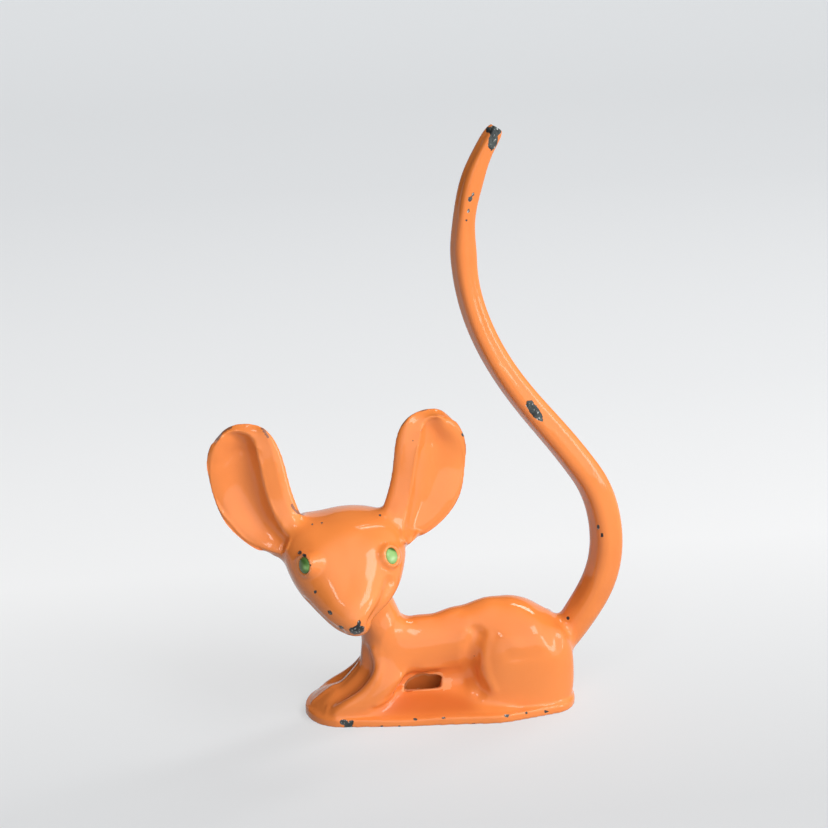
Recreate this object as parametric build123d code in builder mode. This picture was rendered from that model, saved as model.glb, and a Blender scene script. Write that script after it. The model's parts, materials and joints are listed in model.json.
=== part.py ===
from build123d import *
import os
from math import copysign, cos, radians, sin, tau

# A crouching mouse that holds rings on its tail: hollow castings on a low plinth.
# Millimetres and degrees.  +Z is up, +X points at the tail, and the head looks along -Y.
# The origin is at the middle of the plinth's underside.

# Fits and cuts
solder_gap = 0.05
overrun = 1.0
section_points = 16
stack_squareness = 2.3
web_squareness = 4.0

# Plinth: the hull of a front circle, a middle circle and two rear corners
plinth_front_radius = 9.3
plinth_front_ahead = 13.0
plinth_middle_radius = 13.8
plinth_middle_ahead = 6.9
plinth_rear_ledge = 0.7
plinth_corner_radius = 8.0
plinth_corner_spread = 3.2
plinth_thickness = 2.2
plinth_edge_radius = 0.6
land_height = 1.6
land_gap = 0.25

# Body: a loft along the back, from the rump to the withers, with the other forms added
back_height = 27.8
body_length = 31.6
body_half_width = 7.4
body_half_height = 8.0
wall = 2.0

rump_half_length = 14.2
rump_half_width = 8.6
rump_middle_x = 19.9
thigh_half_length = 13.4
thigh_half_width = 6.2
thigh_height = 24.4
thigh_spread = 4.6
thigh_back = 0.5

chest_half_length = 11.0
chest_half_width = 5.4
chest_height = 19.0
chest_ahead = 8.7

leg_length = 22.0
leg_height = 17.5
leg_shoulder_back = 1.2
leg_spread = 5.6
leg_half_width = 3.6

skirt_height = 4.6
skirt_front_radius = 2.4
skirt_rear_radius = 4.4
skirt_inset = 0.9
web_overlap = 3.0
web_half_width = 3.0
web_wall = 1.2
web_height = 13.0
window_length = 10.2
window_height = 4.6
window_sill = 5.5
window_back = 6.8

neck_half_width = 6.0
neck_ahead = 2.2

# Head: a loft from the back of the skull to the nose, about the line between the eyes
head_ahead = 14.0
head_aside = 14.0
head_rise = 28.6
head_turn = 79.0
head_nod = 20.0
head_tilt = 12.0
skull_length = 16.5
muzzle_length = 19.4
head_half_width = 14.4
head_half_height = 10.6
head_wall = 2.0

# Ears: a cupped paddle on a stem
ear_length = 28.9
ear_half_width = 9.7
ear_half_thickness = 2.7
ear_out = 13.4
ear_up = 5.3
ear_back = 6.0
ear_lean = 23.8
ear_sweep = 25.0
ear_toe_out = 12.0
cup_depth = 3.5
cup_tilt = 14.0
cup_half_width = 7.1

# Eyes: round cabochons in spot-faced sockets
eye_radius = 2.25
eye_dome = 1.1
eye_seat_depth = 0.7
eye_shank_radius = 1.1
eye_shank_length = 2.4
eye_station = 5.0
eye_angle = 40.0
eye_forward = 30.0
eye_lift = 36.0

# Tail: round sections along an S, from the rump up
tail_rise = 137.0
tail_swing = 37.0
tail_radius = 4.1

# Shares along the back: forward from the rump and up, then half width and half height
spine_place_shares = [
    (-0.33, 0.46), (0.00, 0.54), (0.31, 0.63), (0.56, 0.635), (0.81, 0.615), (1.00, 0.67),
]
torso_section_shares = [
    (0.00, 0.70, 0.75),
    (0.22, 1.00, 1.36),
    (0.43, 0.94, 1.20),
    (0.63, 0.87, 0.98),
    (0.83, 0.88, 0.95),
    (1.00, 0.74, 0.74),
]

# Shares along the neck: its root's height, its places in the head's frame, then half width and half height
neck_root_shares = [0.42, 0.72]
neck_place_shares = [(0.42, -1.60, -0.50), (0.08, -0.66, -0.36)]
neck_section_shares = [
    (0.00, 1.02, 1.05),
    (0.28, 1.04, 0.98),
    (0.50, 0.98, 0.84),
    (0.70, 0.92, 0.84),
    (0.86, 0.86, 0.85),
    (1.00, 0.78, 0.76),
]

# Shares up each stacked form: height, half length, half width and shift of the middle
rump_section_shares = [
    (0.000, 1.000, 1.000, 0.00),
    (0.350, 0.995, 1.000, 0.00),
    (0.600, 0.940, 0.960, -0.04),
    (0.800, 0.765, 0.800, -0.13),
    (0.930, 0.500, 0.540, -0.23),
    (1.000, 0.220, 0.220, -0.28),
]
thigh_section_shares = [
    (0.000, 1.000, 1.000, 0.00),
    (0.330, 0.990, 1.000, 0.00),
    (0.600, 0.935, 0.960, 0.00),
    (0.800, 0.780, 0.800, 0.00),
    (0.930, 0.520, 0.540, 0.00),
    (1.000, 0.230, 0.220, 0.00),
]
chest_section_shares = [
    (0.000, 1.000, 1.000, 0.00),
    (0.200, 0.700, 0.960, 0.09),
    (0.420, 0.560, 0.930, 0.30),
    (0.650, 0.520, 0.960, 0.54),
    (1.000, 0.500, 1.000, 0.76),
]

# Shares along a foreleg: forward, up and out, then half width and half height
leg_place_shares = [
    (0.0, 1.0, 0.48), (0.19, 0.62, 0.90), (0.40, 0.34, 1.05), (0.66, 0.20, 0.98), (0.87, 0.16, 0.84),
]
leg_section_shares = [
    (0.00, 0.86, 1.30),
    (0.30, 1.02, 1.12),
    (0.55, 0.85, 0.92),
    (0.80, 0.75, 0.78),
    (1.00, 0.42, 0.42),
]

# Shares of the worn window's length and height, from its middle and its sill
window_outline_shares = [
    (-0.50, 0.07), (-0.35, 0.66), (-0.16, 0.92), (0.02, 1.00), (0.17, 0.89),
    (0.39, 0.82), (0.50, 0.70), (0.45, 0.02), (0.25, -0.02), (-0.34, 0.02),
]

# Shares along the head: place, half width, half height, lift of the middle, squareness
skull_shares = [
    (1.00, 0.30, 0.20, 0.06, 2.2),
    (0.84, 0.64, 0.45, 0.06, 2.3),
    (0.52, 0.91, 0.80, 0.06, 2.4),
    (0.15, 1.00, 0.94, 0.04, 2.4),
]
head_crown_share = 0.14
eye_shares = (0.89, 0.83, -0.09, 2.4)
muzzle_shares = [
    (0.53, 0.69, 0.64, -0.24, 2.3),
    (0.75, 0.50, 0.50, -0.34, 2.2),
    (0.91, 0.31, 0.36, -0.43, 2.1),
    (0.98, 0.17, 0.22, -0.48, 2.0),
    (1.00, 0.08, 0.11, -0.50, 2.0),
]

# Shares along an ear: place, half width, shift outwards, half thickness
ear_section_shares = [
    (-0.160, 0.52, 0.04, 0.90),
    (0.000, 0.68, 0.17, 1.00),
    (0.130, 0.82, 0.30, 1.00),
    (0.280, 0.91, 0.35, 1.00),
    (0.450, 0.97, 0.30, 1.00),
    (0.620, 1.00, 0.18, 0.96),
    (0.800, 0.92, 0.08, 0.86),
    (0.900, 0.72, 0.05, 0.74),
    (0.965, 0.42, 0.03, 0.55),
    (1.000, 0.14, 0.02, 0.26),
]
cup_section_shares = [
    (0.02, 0.32, 0.38, 0.34),
    (0.15, 0.70, 0.48, 0.80),
    (0.30, 0.92, 0.49, 0.97),
    (0.47, 1.00, 0.44, 1.00),
    (0.64, 1.00, 0.33, 0.97),
    (0.80, 0.83, 0.23, 0.83),
    (0.90, 0.51, 0.15, 0.51),
    (0.95, 0.19, 0.10, 0.20),
]

# Shares of the tail's swing behind the rump and of its rise, then of its radius
tail_root_share = 0.417
tail_place_shares = [
    (-0.213, 0.000),
    (-0.036, 0.041),
    (0.057, 0.075),
    (0.135, 0.115),
    (0.206, 0.166),
    (0.222, 0.224),
    (0.190, 0.283),
    (0.052, 0.362),
    (-0.061, 0.402),
    (-0.237, 0.462),
    (-0.412, 0.522),
    (-0.566, 0.587),
    (-0.731, 0.696),
    (-0.778, 0.791),
    (-0.730, 0.899),
    (-0.565, 0.996),
]
tail_section_shares = [
    (0.000, 0.92),
    (0.060, 1.00),
    (0.120, 1.03),
    (0.190, 1.02),
    (0.260, 1.00),
    (0.330, 0.98),
    (0.400, 0.95),
    (0.470, 0.91),
    (0.540, 0.85),
    (0.610, 0.80),
    (0.680, 0.77),
    (0.750, 0.75),
    (0.820, 0.72),
    (0.890, 0.67),
    (0.940, 0.60),
    (0.975, 0.54),
    (0.993, 0.46),
    (1.000, 0.34),
]


def oval(plane, half_width, half_height, squareness=2.0, crown=0.0):
    """A closed smooth outline on a plane, from an ellipse towards a box, wider above by crown."""
    power = 2 / squareness
    points = []
    for step in range(section_points):
        c, s = cos(tau * step / section_points), sin(tau * step / section_points)
        x, y = copysign(abs(c) ** power, c), copysign(abs(s) ** power, s)
        points.append((half_width * x * (1 + crown * y), half_height * y))
    with BuildSketch(plane) as section:
        with BuildLine():
            Spline(*points, periodic=True)
        make_face()
    return section.sketch


def lofted(sections):
    """One smooth solid through a row of sections."""
    with BuildPart() as form:
        loft(sections)
    return form.part


def stack(rows, half_length, half_width, height, middle_x, middle_y=0.0, inset=0.0):
    """Flat ovals one above another, from the plinth's top to a height."""
    rise = height - inset - plinth_thickness
    sections = []
    for up, along, across, shift in rows:
        plane = Plane((middle_x + shift * half_length, middle_y, plinth_thickness + up * rise))
        half_along, half_across = along * half_length - inset, across * half_width - inset
        sections.append(oval(plane, half_along, half_across, stack_squareness))
    return lofted(sections)


def along_path(points, rows):
    """Ovals along a smooth line through points: place, half width across Y and half height."""
    with BuildLine() as line:
        Spline(*points)
    path = line.edges()[0]
    across = Vector(0, 1, 0)
    sections = []
    for place, half_width, half_height in rows:
        forward = path % place
        side = across - forward * across.dot(forward)
        sections.append(oval(Plane(path @ place, x_dir=side, z_dir=forward), half_width, half_height))
    return lofted(sections)


def hull_plan(level, circles):
    """The hull of circles, each a place and a radius, at a level."""
    with BuildSketch(Plane.XY.offset(level)) as plan:
        for x, y, radius in circles:
            with Locations((x, y)):
                Circle(radius)
        make_hull()
    return plan.sketch


# The places that the forms are set out from
rump_rear_x = rump_middle_x + rump_half_length
withers_x = rump_middle_x - body_length
withers_z = spine_place_shares[-1][1] * back_height

# The head's own frame: x to its left, y up and z forward
turn, nod = radians(head_turn), radians(head_nod)
facing = Vector(-cos(turn) * cos(nod), -sin(turn) * cos(nod), -sin(nod))
head_frame = Plane(
    (withers_x - head_ahead, -head_aside, withers_z + head_rise),
    x_dir=(sin(turn), -cos(turn), 0),
    z_dir=facing,
).rotated((0, 0, head_tilt))


def in_head(out, up, forward, turns=(0, 0, 0)):
    """A plane placed and turned in the head's own frame."""
    return Plane(head_frame.location * Location((out, up, forward), turns))


def head_form(grow=0.0, rows_from=0, rows_to=None):
    """The head's outside, or with a negative growth its hollow."""
    rows = [(-place * skull_length, *shares) for place, *shares in skull_shares]
    rows.append((eye_station, *eye_shares))
    rows += [(place * muzzle_length, *shares) for place, *shares in muzzle_shares]
    sections = []
    for place, width, height, lift, squareness in rows[rows_from:rows_to]:
        plane = in_head(0, lift * head_half_height, place)
        half_width, half_height = width * head_half_width + grow, height * head_half_height + grow
        sections.append(oval(plane, half_width, half_height, squareness, head_crown_share))
    return lofted(sections)


def torso_form(grow=0.0, rows_from=0, rows_to=None):
    """The back from the rump to the withers."""
    points = [Vector(rump_middle_x - x * body_length, 0, z * back_height) for x, z in spine_place_shares]
    rows = [
        (place, width * body_half_width + grow, height * body_half_height + grow)
        for place, width, height in torso_section_shares[rows_from:rows_to]
    ]
    return along_path(points, rows)


def neck_form(grow=0.0):
    """The neck, from inside the chest to inside the head."""
    points = [Vector(withers_x - neck_ahead, 0, share * back_height) for share in neck_root_shares]
    for out, up, forward in neck_place_shares:
        place = (out * head_half_width, up * head_half_height, forward * skull_length)
        points.append(head_frame.from_local_coords(Vector(*place)))
    rows = [
        (place, width * neck_half_width + grow, height * neck_half_width + grow)
        for place, width, height in neck_section_shares
    ]
    return along_path(points, rows)


def leg_form(side):
    """A foreleg from the shoulder to the paw."""
    points = [
        Vector(withers_x + leg_shoulder_back - x * leg_length, side * y * leg_spread, z * leg_height)
        for x, z, y in leg_place_shares
    ]
    rows = [
        (place, width * leg_half_width, height * leg_half_width)
        for place, width, height in leg_section_shares
    ]
    return along_path(points, rows)


def tail_form(grow=0.0):
    """The tail with its root plug."""
    root_z = tail_root_share * back_height
    points = [Vector(rump_rear_x + x * tail_swing, 0, root_z + z * tail_rise) for x, z in tail_place_shares]
    radii = [(place, share * tail_radius + grow) for place, share in tail_section_shares]
    return along_path(points, [(place, radius, radius) for place, radius in radii])


def in_ear(side, out, along, front):
    """A section plane across an ear, whose own frame has y along it and z out of the cup."""
    root = in_head(side * ear_out, ear_up, -ear_back, (-ear_sweep, side * ear_toe_out, -side * ear_lean))
    return Plane(root.location * Location((side * out, along, front), (-90, 0, 0)))


def ear_form(side, grow=0.0):
    """The ear's outside with its stem."""
    sections = []
    for place, width, shift, thickness in ear_section_shares:
        plane = in_ear(side, shift * ear_half_width, place * ear_length, 0)
        sections.append(oval(plane, width * ear_half_width + grow, thickness * ear_half_thickness + grow))
    return lofted(sections)


def ear_cup(side):
    """The hollow of an ear, set towards its outer rim."""
    sections = []
    for place, width, shift, depth in cup_section_shares:
        plane = in_ear(side, shift * ear_half_width, place * ear_length, ear_half_thickness)
        plane = plane.rotated((0, 0, -side * cup_tilt))
        sections.append(oval(plane, width * cup_half_width, depth * cup_depth))
    return lofted(sections)


def eye_frame(side):
    """The eye's own frame on the side of the head: z out of the socket."""
    width, height, lift, squareness = eye_shares
    angle, power = radians(eye_angle), 2 / squareness
    out_share, up_share = cos(angle) ** power, sin(angle) ** power
    out = side * width * head_half_width * out_share * (1 + head_crown_share * up_share)
    up = (lift + height * up_share) * head_half_height
    return in_head(out, up, eye_station, (-eye_lift, side * (90 - eye_forward), 0))


def eye_form():
    """A cabochon on its shank, with its girdle at the origin."""
    shank_end = -eye_seat_depth - eye_shank_length
    dome_radius = (eye_radius**2 + eye_dome**2) / (2 * eye_dome)
    with BuildPart() as form:
        with BuildSketch(Plane.XZ):
            with BuildLine():
                Polyline(
                    (0, eye_dome),
                    (0, shank_end),
                    (eye_shank_radius, shank_end),
                    (eye_shank_radius, -eye_seat_depth),
                    (eye_radius, -eye_seat_depth),
                    (eye_radius, 0),
                )
                RadiusArc((eye_radius, 0), (0, eye_dome), -dome_radius)
            make_face()
        revolve(axis=Axis.Z)
    return form.part


os.makedirs("parts", exist_ok=True)
front_x = withers_x - plinth_front_ahead
plinth_middle_x = rump_middle_x - plinth_middle_ahead
corner_x = rump_rear_x + plinth_rear_ledge - plinth_corner_radius
deck = Plane.XY.offset(plinth_thickness)

# Base plinth, with the land that locates the hollow body
with BuildPart() as base_plinth:
    add(hull_plan(0, [
        (front_x, 0, plinth_front_radius),
        (plinth_middle_x, 0, plinth_middle_radius),
        (corner_x, plinth_corner_spread, plinth_corner_radius),
        (corner_x, -plinth_corner_spread, plinth_corner_radius),
    ]))
    extrude(amount=plinth_thickness)
    fillet(base_plinth.edges().group_by(Axis.Z)[-1], plinth_edge_radius)
    add(oval(
        Plane((rump_middle_x, 0, plinth_thickness)),
        rump_half_length - wall - land_gap,
        rump_half_width - wall - land_gap,
        stack_squareness,
    ))
    extrude(amount=land_height)
base_plinth.part.label = "base_plinth"
export_step(base_plinth.part, "parts/base_plinth.step")

# Body shell: the outside, then its hollow, the worn window and the tail's socket
with BuildPart() as body_shell:
    add(torso_form())
    add(neck_form())
    add(stack(rump_section_shares, rump_half_length, rump_half_width, back_height, rump_middle_x))
    add(stack(chest_section_shares, chest_half_length, chest_half_width, chest_height,
              withers_x - chest_ahead))
    for side in (1, -1):
        add(stack(thigh_section_shares, thigh_half_length, thigh_half_width, thigh_height,
                  rump_middle_x + thigh_back, side * thigh_spread))
        add(leg_form(side))
    skirt_foot = hull_plan(plinth_thickness, [
        (front_x, 0, plinth_front_radius - skirt_inset),
        (plinth_middle_x, 0, plinth_middle_radius - skirt_inset),
    ])
    skirt_top = hull_plan(plinth_thickness + skirt_height, [
        (front_x, 0, skirt_front_radius),
        (plinth_middle_x, 0, skirt_rear_radius),
    ])
    loft([skirt_foot, skirt_top])
    web_plane = Plane(((withers_x + rump_middle_x) / 2, 0, plinth_thickness))
    web_half_length = body_length / 2 + web_overlap
    add(oval(web_plane, web_half_length, web_half_width, web_squareness))
    extrude(amount=web_height)
    split(bisect_by=deck, keep=Keep.TOP)
    rump_hollow = stack(
        rump_section_shares, rump_half_length, rump_half_width, back_height, rump_middle_x, inset=wall
    )
    add(rump_hollow, mode=Mode.SUBTRACT)
    add(torso_form(-wall, rows_from=1, rows_to=5), mode=Mode.SUBTRACT)
    add(oval(web_plane, web_half_length - wall, web_half_width - web_wall, web_squareness))
    extrude(amount=web_height, mode=Mode.SUBTRACT)
    with BuildSketch(Plane.XZ):
        with BuildLine():
            Polyline(
                *[(withers_x + window_back + x * window_length, window_sill + z * window_height)
                  for x, z in window_outline_shares],
                close=True,
            )
        make_face()
    extrude(amount=web_half_width + overrun, mode=Mode.SUBTRACT)
    add(tail_form(solder_gap), mode=Mode.SUBTRACT)
body_shell.part.label = "body_shell"
export_step(body_shell.part, "parts/body_shell.step")

# Tail
with BuildPart() as tail:
    add(tail_form())
tail.part.label = "tail"
export_step(tail.part, "parts/tail.step")

# Head shell: the outside, then its hollow and the sockets of the neck, ears and eyes
with BuildPart() as head_shell:
    add(head_form())
    add(head_form(-head_wall, rows_from=1, rows_to=7), mode=Mode.SUBTRACT)
    add(neck_form(solder_gap), mode=Mode.SUBTRACT)
    for side in (1, -1):
        add(ear_form(side, solder_gap), mode=Mode.SUBTRACT)
        with BuildSketch(eye_frame(side).offset(-eye_seat_depth)):
            Circle(eye_radius + solder_gap)
        extrude(amount=eye_seat_depth + overrun, mode=Mode.SUBTRACT)
        with BuildSketch(eye_frame(side).offset(-eye_seat_depth)):
            Circle(eye_shank_radius + solder_gap)
        extrude(amount=-eye_shank_length - overrun, mode=Mode.SUBTRACT)
head_shell.part.label = "head_shell"
export_step(head_shell.part, "parts/head_shell.step")

# Ears and eyes, the mouse's own left and right
for name, side in (("left", 1), ("right", -1)):
    with BuildPart() as ear:
        add(ear_form(side))
        add(ear_cup(side), mode=Mode.SUBTRACT)
    ear.part.label = name + "_ear"
    export_step(ear.part, "parts/" + name + "_ear.step")

    with BuildPart() as eye:
        add(eye_frame(side).location * eye_form())
    eye.part.label = name + "_eye"
    export_step(eye.part, "parts/" + name + "_eye.step")
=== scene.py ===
import json
import math

import bpy
import numpy as np
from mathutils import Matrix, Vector
from mathutils.bvhtree import BVHTree

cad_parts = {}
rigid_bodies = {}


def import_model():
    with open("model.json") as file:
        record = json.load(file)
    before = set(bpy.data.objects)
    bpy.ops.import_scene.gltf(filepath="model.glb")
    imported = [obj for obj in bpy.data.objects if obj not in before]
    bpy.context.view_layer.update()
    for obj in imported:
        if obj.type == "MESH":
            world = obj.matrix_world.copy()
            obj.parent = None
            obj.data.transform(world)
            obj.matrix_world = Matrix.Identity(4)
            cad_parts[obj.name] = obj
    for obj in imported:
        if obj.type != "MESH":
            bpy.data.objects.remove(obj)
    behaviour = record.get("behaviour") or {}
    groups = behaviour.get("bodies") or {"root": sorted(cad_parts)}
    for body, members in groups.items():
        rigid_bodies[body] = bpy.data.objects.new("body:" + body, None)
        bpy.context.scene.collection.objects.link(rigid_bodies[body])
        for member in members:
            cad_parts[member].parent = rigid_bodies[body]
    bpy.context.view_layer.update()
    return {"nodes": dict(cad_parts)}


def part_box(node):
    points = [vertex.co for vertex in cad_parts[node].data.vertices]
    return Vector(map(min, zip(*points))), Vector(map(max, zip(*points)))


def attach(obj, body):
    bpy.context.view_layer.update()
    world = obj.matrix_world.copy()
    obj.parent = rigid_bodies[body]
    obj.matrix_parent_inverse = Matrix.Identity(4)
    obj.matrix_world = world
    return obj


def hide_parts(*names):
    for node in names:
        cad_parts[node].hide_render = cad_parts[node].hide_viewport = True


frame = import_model()

# An enamelled mouse that holds rings on its tail.  One skin is shaped over the castings and then cut
# into a piece for each of them.  Sizes are in millimetres; the meshes are in metres.
mm = 0.001

# Camera: where the photograph was taken from, and its frame
view_turn = math.radians(-10.0)
view_height = math.radians(20.0)
view_distance = 583.05
view_target = Vector((-1.896, 25.743, 68.748))
view_lens = 100.0
view_sensor = 36.0
photo_side_px = 828

# Skin
skin_grain = 0.42
solder_swell = 0.09
seam_depth = 0.5
facing_least = 0.1

# How many turns the skin gets of smoothing, of enamel running into the joints, of film-stretching and of
# spreading its painted shade
cast_smoothing = 12
joint_turns = 260
joint_smoothing = 10
flank_turns = 700
ear_lump_turns = 90
rump_lump_turns = 25
nape_turns = 70
band_turns = 300
cup_smoothing = 12
notch_turns = 40
last_smoothing = 6
seat_smoothing = 2
crease_shade_turns = 12
pocket_shade_turns = 25

casting_names = ["base_plinth", "body_shell", "head_shell", "left_ear", "right_ear", "tail"]
eye_names = ["left_eye", "right_eye"]

# The head's own frame
head_turn = math.radians(79.0)
head_nod = math.radians(20.0)
head_tilt = math.radians(12.0)

# Joints that the enamel runs into, each two castings and how freely, and how wide the run is
joint_reach = 7.0
joints = [
    ("head_shell", "left_ear", 1.0),
    ("head_shell", "right_ear", 1.0),
    ("head_shell", "body_shell", 1.0),
    ("tail", "body_shell", 0.35),
]

# The broken window in the near flank: its middle and half sizes
window_middle = (-4.9, -2.6, 7.8)
window_reach = (6.5, 3.0, 3.6)

# Tail: how far its flats are let in, and how they are turned
tail_flat = 0.24
tail_roll = math.radians(20.0)
tail_root_heights = (22.0, 27.0)
tail_even_heights = (36.0, 44.0)

# Eyes: the glass, its seat in the skin and the lip round it
eye_radius = 2.0
eye_dome = 0.45
eye_seat = 0.45
eye_lip = 0.06
eye_facet = 2.9
eye_reach = 3.6
eye_sink = 0.15
eye_slant = 0.64
eye_slant_step = 0.02
eye_skin = 4.0
eye_lip_out = 0.5
eye_lip_width = 0.32
eye_seat_edge = (-0.1, 0.3)
eye_facet_fade = 0.8
# The ring of pale painted highlight round each eye: how far out it lies and how it fades
eye_ring_out = 0.35
eye_ring_fade = (0.08, 0.3)
eye_px = {"right_eye": (303, 565.5), "left_eye": (393, 555.6)}
eye_rings = 20
eye_spokes = 56

# Places where the castings lie off the photograph: a pixel, its step right and down, and its reach
outline_nudges = {
    "far ear's inner shoulder": (274, 440, -4, 3, 26),
    "far ear's outer shoulder": (226, 430, -3, 1, 26),
    "far ear's lobe": (264, 549, -1, 3, 20),
    "near ear's tip": (436, 413, 1, -2, 26),
    "near ear's outer side": (457, 492, 2, 1, 24),
    "forehead": (319, 509, 0, 3, 16),
    "right cheek": (395, 586, 2, 0, 18),
    "muzzle's tip": (352, 640, 1, -3, 16),
    "throat": (380, 620, -6, -1, 14),
    "back": (439, 609, 0, 2, 18),
    "far foreleg": (318, 688, 0, -3, 18),
    "plinth's rear end": (577, 696, -2, 0, 18),
    "plinth's front edge": (400, 725, 0, 2, 30),
}

# Floor: how far its shading reaches from front to back, and the light it gives back to the camera
floor_reach = (-0.06, 1.1)
floor_half = 1.2
floor_rise = 0.62
floor_bend = 0.5
floor_bend_steps = 24
floor_colour = (0.26, 0.265, 0.27, 1)
floor_roughness = 0.85
floor_stops = [
    (0.0, (0.45, 0.455, 0.46, 1)),
    (0.13, (0.645, 0.645, 0.645, 1)),
    (0.25, (0.575, 0.58, 0.585, 1)),
    (0.5, (0.495, 0.505, 0.515, 1)),
    (1.0, (0.475, 0.49, 0.50, 1)),
]

# Panel lamps: the direction each stands in, its distance, its two sides and its radiance
panels = {
    "front_right": ((0.43, -0.60, 0.67), 0.9, (0.34, 0.29), 5.2),
    "front_left": ((-0.34, -0.58, 0.74), 0.9, (0.08, 0.20), 7.0),
    "right_side": ((0.80, -0.58, 0.10), 0.9, (0.16, 0.54), 5.0),
    "overhead": ((0.50, 0.28, 0.80), 0.8, (0.13, 0.46), 10.0),
}
panel_aim = (0, 0, 0.04)

# Sky: where it is brightest, and how its strength rises towards there
sky_brightest = (0.5, -0.84, 0.2)
sky_rise = {"From Min": 0.1, "From Max": 0.95, "To Min": 0.02, "To Max": 1.9}
sky_colour = (0.98, 0.99, 1.0, 1)

# Lines down the middle of the face and its right-hand side, in the photograph's pixels
brow_px = [(350, 540), (353, 570), (356, 600)]
cheek_plane_px = [(377, 552), (374, 575), (369, 597), (361, 617)]
cheek_hollow_px = [(389, 584), (380, 604), (369, 620)]
nose_px = [(357, 624), (357, 630)]
# How wide and how high each line's form is
brow_form = (8.0, 0.6)
cheek_plane_form = (6.0, 0.6)
cheek_hollow_form = (2.6, -0.75)
nose_form = (2.2, 0.25)

# The ears' cups, in the photograph's pixels: the crest on the inner side and the rim on the outer one
far_cup_px = [(222, 435), (230, 431), (240, 431.5), (250, 436), (256, 446), (261, 464), (266, 486),
              (272, 507), (281, 525), (289, 536)]
far_rim_px = [(220.5, 436.5), (214, 447.5), (209.5, 464), (209.5, 486), (217, 506), (229, 523), (246, 541),
              (264, 551), (282, 556)]
near_cup_px = [(441, 416), (431, 417), (423, 424), (419, 440), (414, 466), (410, 492), (406, 514),
               (403, 530)]
near_rim_px = [(443, 416.5), (455.5, 427.5), (463, 443.5), (465, 462), (461, 484), (453, 502), (441, 518),
               (424, 532)]
cup_depths = (3.0, 2.4)
band_middle = 13.0
band_round = 0.15
# The cup's reach into the ear in millimetres, then its fades from the two lines in pixels
cup_facing = -0.35
cup_back = 4.5
cup_skin = 4.0
band_skin = 1.0
head_clearance = 4.0
cup_opening = 40
cup_steepness = 1.6
cup_rim_fade = (0.0, 2.5)
band_fade = (12.0, 17.0)
rim_fade = (2.0, 4.5)
band_strip = 14.0
calm_rim_fade = (1.0, 4.0)
calm_band_fade = (12.0, 18.0)
level_blur = 3.0

# Lines of the chest, belly and haunch, in the photograph's pixels
leg_ridge_px = [(373.5, 650.5), (376.8, 666.8), (373.5, 677.6), (366, 688.5), (350.7, 702.6), (336.6, 713.4)]
flute_px = [(366, 652), (368, 668), (359, 683), (345, 694), (330, 704)]
leg_heel_px = [(402, 688), (390, 697), (377, 705)]
haunch_crease_px = [(475, 634), (470, 648), (471, 668), (480, 690)]
haunch_edge_px = [(489, 636), (484, 652), (487, 674), (494, 690)]
back_px = [(452, 613), (468, 608), (482, 604)]
# How wide and how high each line's form is
back_form = (6.0, 0.4)
leg_ridge_form = (2.8, 0.45)
leg_crest_form = (1.3, 0.2)
flute_form = (3.0, -0.8)
leg_heel_form = (1.4, 0.3)
haunch_crease_form = (3.2, -0.8)
haunch_edge_form = (2.0, 0.28)

# The flank that runs on smoothly, in the photograph's pixels, and how far it keeps from the middle
flank_px = [(398, 614), (414, 621), (440, 617), (466, 611), (468, 630), (464, 650), (461, 667), (441, 667),
            (421, 667), (402, 676), (384, 690), (370, 700), (364, 700), (376, 683), (381, 668), (380, 652),
            (383, 640), (391, 626)]
flank_from_middle = 0.5

# The rump's even surface: the height of its axis, where it starts, on top and at the sides, and ends,
# how it fades round the sides in degrees, and the powers along it and round it
rump_axis = 8.0
rump_starts = (3.0, 14.0)
rump_start_sides = (16, 36)
rump_start_fade = 5.0
rump_ends = (24.0, 30.0)
rump_side_fade = (30, 58)
rump_skin = 2.0
rump_middle = 15.0
rump_half = 12.0
rump_powers = (5, 7)

# Small lumps that are melted, in the photograph's pixels, and the nape behind the head's middle
ear_lumps_px = [(275, 554), (409, 542)]
rump_lumps_px = [(548, 632)]
lump_reach = 4.6
rim_notch_px = (452, 423)
notch_reach = 2.4
nape_back = 20.0
nape_reach = 16.0

# The keel down the chest, as places along and up, and how wide and how high it is
keel_places = [(-20.0, 13.1), (-23.2, 9.2), (-27.1, 5.6), (-31.6, 2.5)]
keel_form = (1.2, 0.5)

# Wear, in the photograph's pixels: chips down to the metal as a middle, two half sizes and a turn
chips = [
    (495, 131, 6.5, 6, 0), (493, 141, 4.5, 9, 12), (488, 130, 2.5, 3, 0), (534.7, 411.3, 12.5, 4.6, 51),
    (530, 403.5, 4, 3.4, 20), (470, 199, 2.2, 2.8, 0), (473, 194, 1.6, 1.6, 0), (468.5, 211, 1.5, 2.2, 0),
    (466, 221, 1.2, 1.8, 0), (598, 527, 1.4, 2.2, 0), (602, 535, 1.4, 2.0, 0), (568, 618, 1.8, 1.6, 0),
    (357, 630, 7.5, 4.5, -8), (359, 623.5, 2.2, 3.5, 10), (300, 552.5, 1.8, 2.6, 30),
    (304.5, 555.5, 2.4, 1.5, 20),
    (311, 565, 1.6, 1.5, 0), (315, 592, 1.3, 1.8, 0), (330, 612.5, 2.6, 1.8, 40), (341, 627, 2.8, 1.3, 35),
    (344, 722.5, 4.5, 3, 10), (348.5, 725.5, 5, 3.4, -15), (351, 722, 2.6, 2, 0),
    (415, 719, 1.8, 1.2, 0), (444, 718, 2.6, 1.2, 0), (507, 715.6, 2.4, 1.6, 0),
    (526, 713, 1.3, 1.0, 0), (546, 711.5, 2.2, 1.2, 0), (382, 726, 1.8, 0.9, 0), (399, 726, 1.5, 0.8, 0),
    (473, 723.5, 2.0, 0.9, 0), (312, 524, 1.1, 1.0, 0), (322, 523, 1.0, 1.0, 0), (380, 515, 1.2, 1.2, 0),
    (413, 440.5, 0.9, 1.1, 0), (463, 434.5, 1.2, 2.2, -10), (474.5, 656, 1.0, 1.0, 0),
    (479, 617, 0.9, 0.9, 0),
]
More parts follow.
